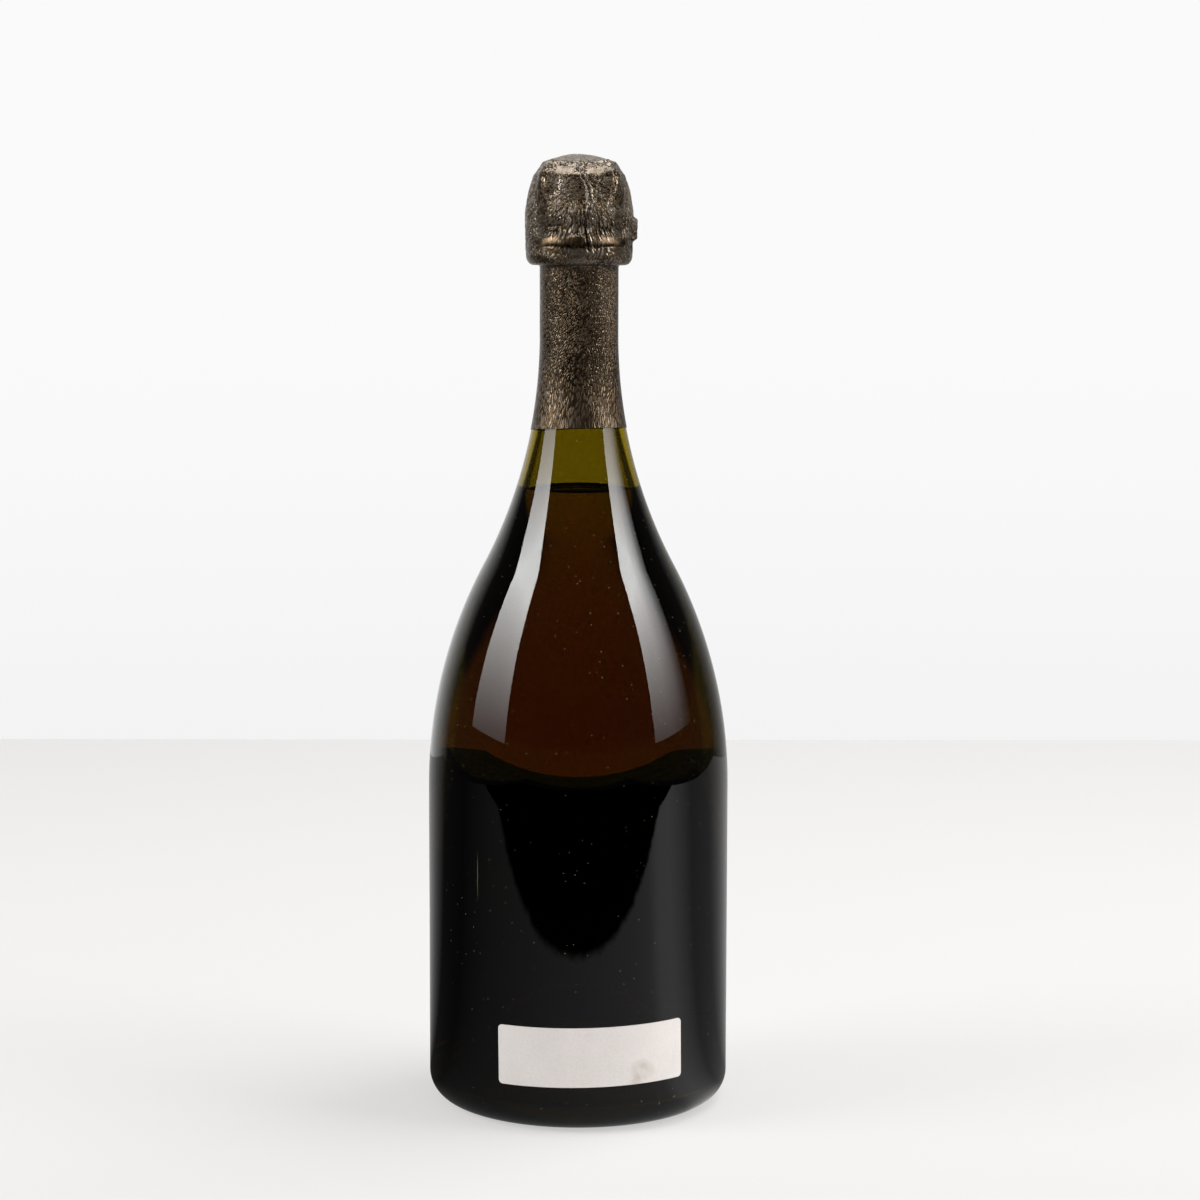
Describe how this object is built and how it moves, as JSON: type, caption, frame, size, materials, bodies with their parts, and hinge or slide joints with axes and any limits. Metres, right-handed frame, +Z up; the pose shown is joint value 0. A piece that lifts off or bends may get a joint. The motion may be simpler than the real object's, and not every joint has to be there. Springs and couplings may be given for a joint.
{
  "type": "champagne bottle",
  "caption": "Full, foil-topped sparkling wine bottle in dark glass, with its cork, wire cage, foil and two blank paper labels.",
  "frame": {"origin": "centre of the foot, in the plane that the bottle stands on", "axes": "+Z up along the bottle's axis; -Y towards the strip label, +Y towards the front label; +X to the right when the strip label is faced"},
  "size_m": [0.093, 0.0934, 0.2927],
  "materials": {
    "dark_glass": "polished",
    "wine_liquid": "clear liquid",
    "foil": "embossed, crinkled",
    "label_paper": "matte",
    "agglomerate_cork": "granular",
    "natural_cork": "raw",
    "tinplate": "lacquered",
    "cage_steel": "galvanised"
  },
  "bodies": {
    "bottle": {"bottle_glass": "dark_glass", "wine": "wine_liquid", "foil_skirt": "foil", "strip_label": "label_paper", "front_label": "label_paper"},
    "cork": {"cork_body": "agglomerate_cork", "cork_disc_upper": "natural_cork", "cork_disc_lower": "natural_cork"},
    "muselet": {"cap_plate": "tinplate", "cage_wire": "cage_steel", "leg_eyes": "cage_steel", "belt_wire": "cage_steel"},
    "hood": {"foil_hood": "foil"}
  },
  "joints": [
    {"name": "cork_draw", "type": "slide", "parent": "bottle", "child": "cork", "axis": [0, 0, 1], "range_m": [0, 0.03]},
    {"name": "cage_lift", "type": "slide", "parent": "cork", "child": "muselet", "axis": [0, 0, 1], "range_m": [0, 0.028], "deforming": ["belt_wire", "leg_eyes"]},
    {"name": "hood_lift", "type": "slide", "parent": "muselet", "child": "hood", "axis": [0, 0, 1], "range_m": [0, 0.035]}
  ]
}
